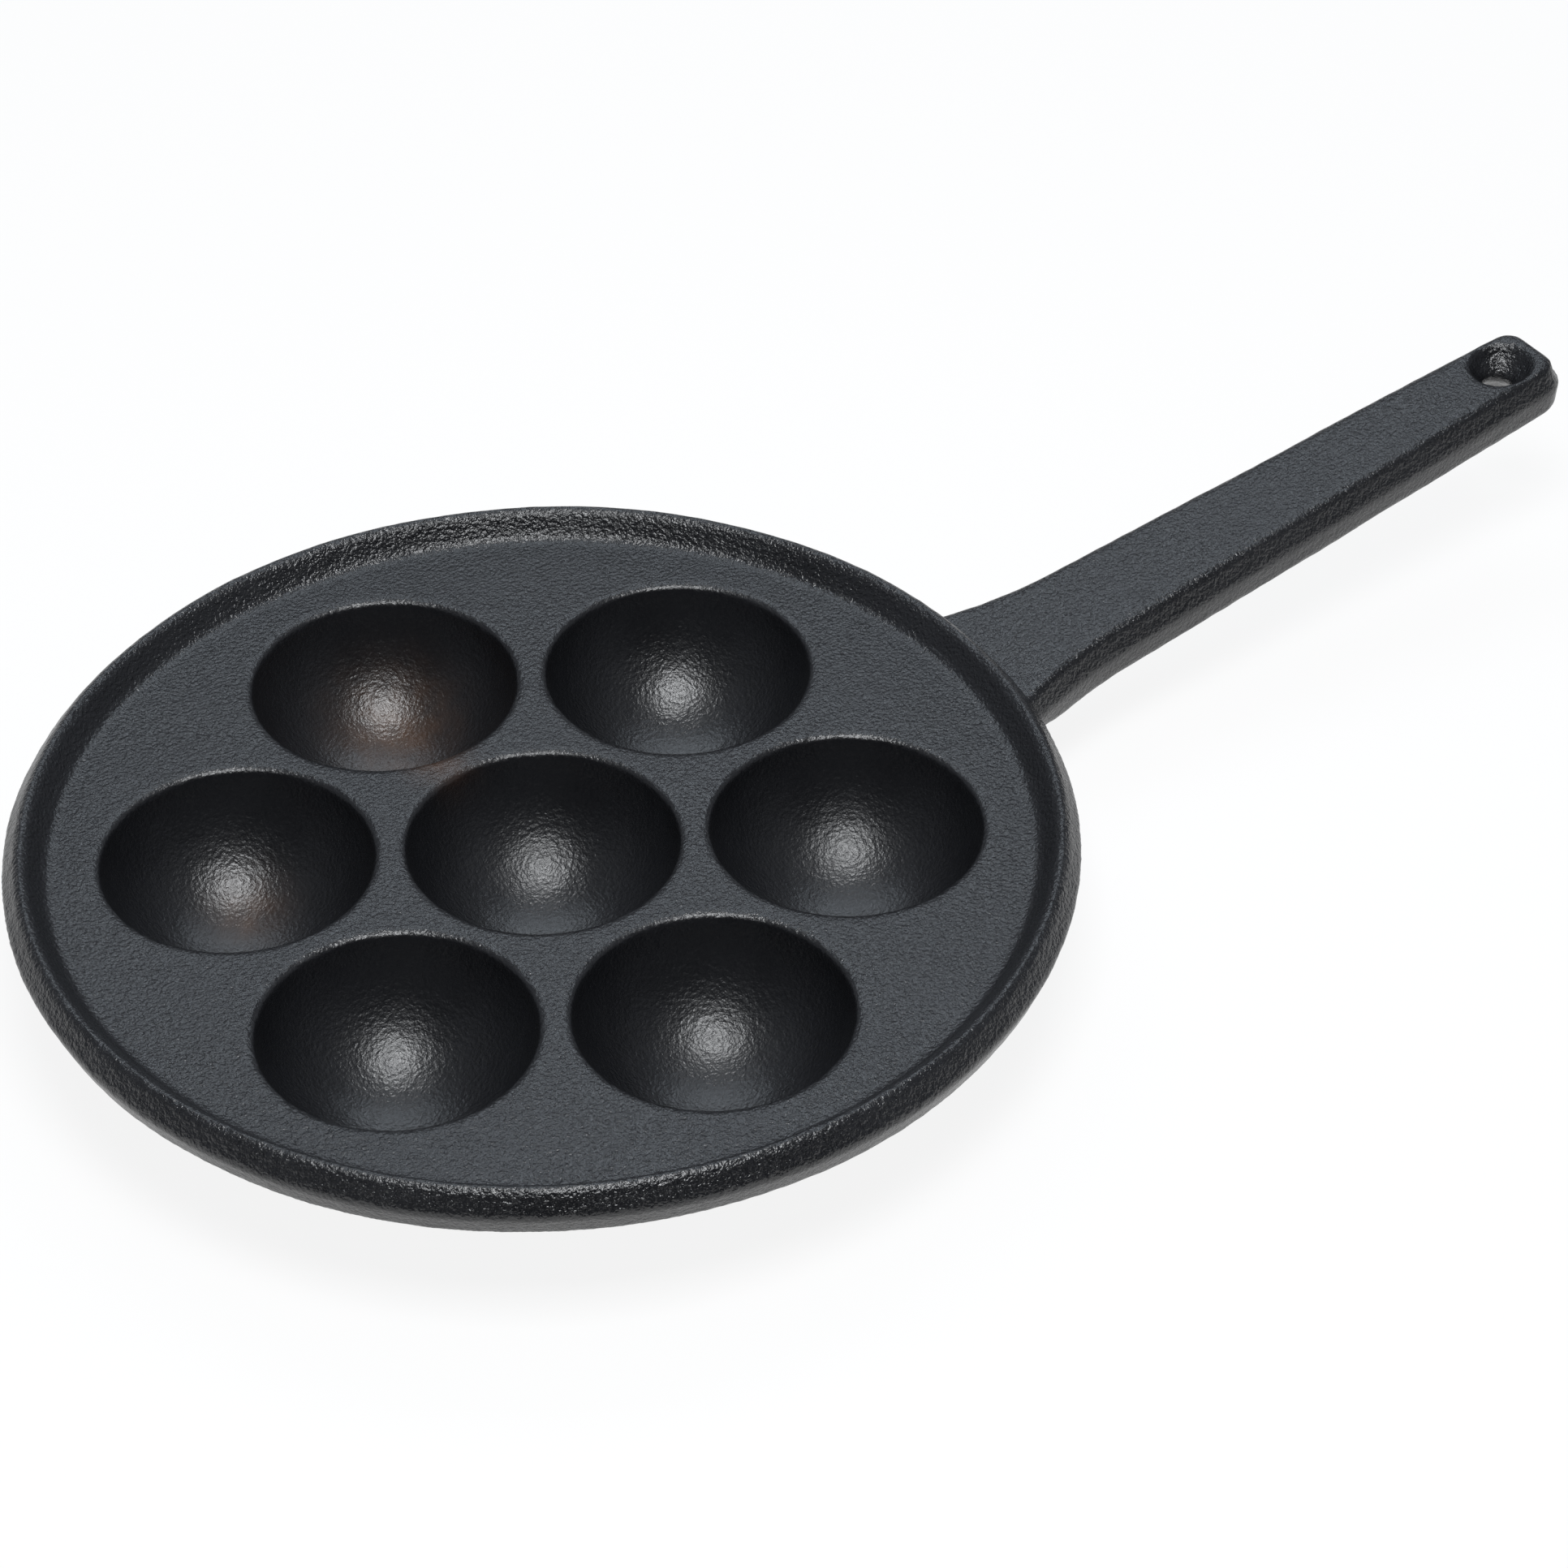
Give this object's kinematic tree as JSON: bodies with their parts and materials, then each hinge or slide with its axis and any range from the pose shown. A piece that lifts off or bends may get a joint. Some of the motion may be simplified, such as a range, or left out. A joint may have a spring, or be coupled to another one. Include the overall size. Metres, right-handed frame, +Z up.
{
  "type": "aebleskiver pan",
  "caption": "Round cast-iron pan with a ring of hemispherical wells round a central one, a low rim and a long flat handle with a hanging eye.",
  "frame": {"origin": "centre of the flat foot under the centre well, on the surface that the pan stands on", "axes": "+X along the handle, from the pan's centre to the hanging eye; +Z up, out of the wells' mouths"},
  "size_m": [0.3775, 0.22, 0.0455],
  "materials": {
    "seasoned_iron": "sand-cast, black seasoned, satin"
  },
  "bodies": {
    "root": {"cooking_plate": "seasoned_iron", "rim": "seasoned_iron", "centre_well": "seasoned_iron", "well_1": "seasoned_iron", "well_2": "seasoned_iron", "well_3": "seasoned_iron", "well_4": "seasoned_iron", "well_5": "seasoned_iron", "well_6": "seasoned_iron", "handle_root": "seasoned_iron", "handle_grip": "seasoned_iron", "hanging_end": "seasoned_iron"}
  },
  "joints": []
}
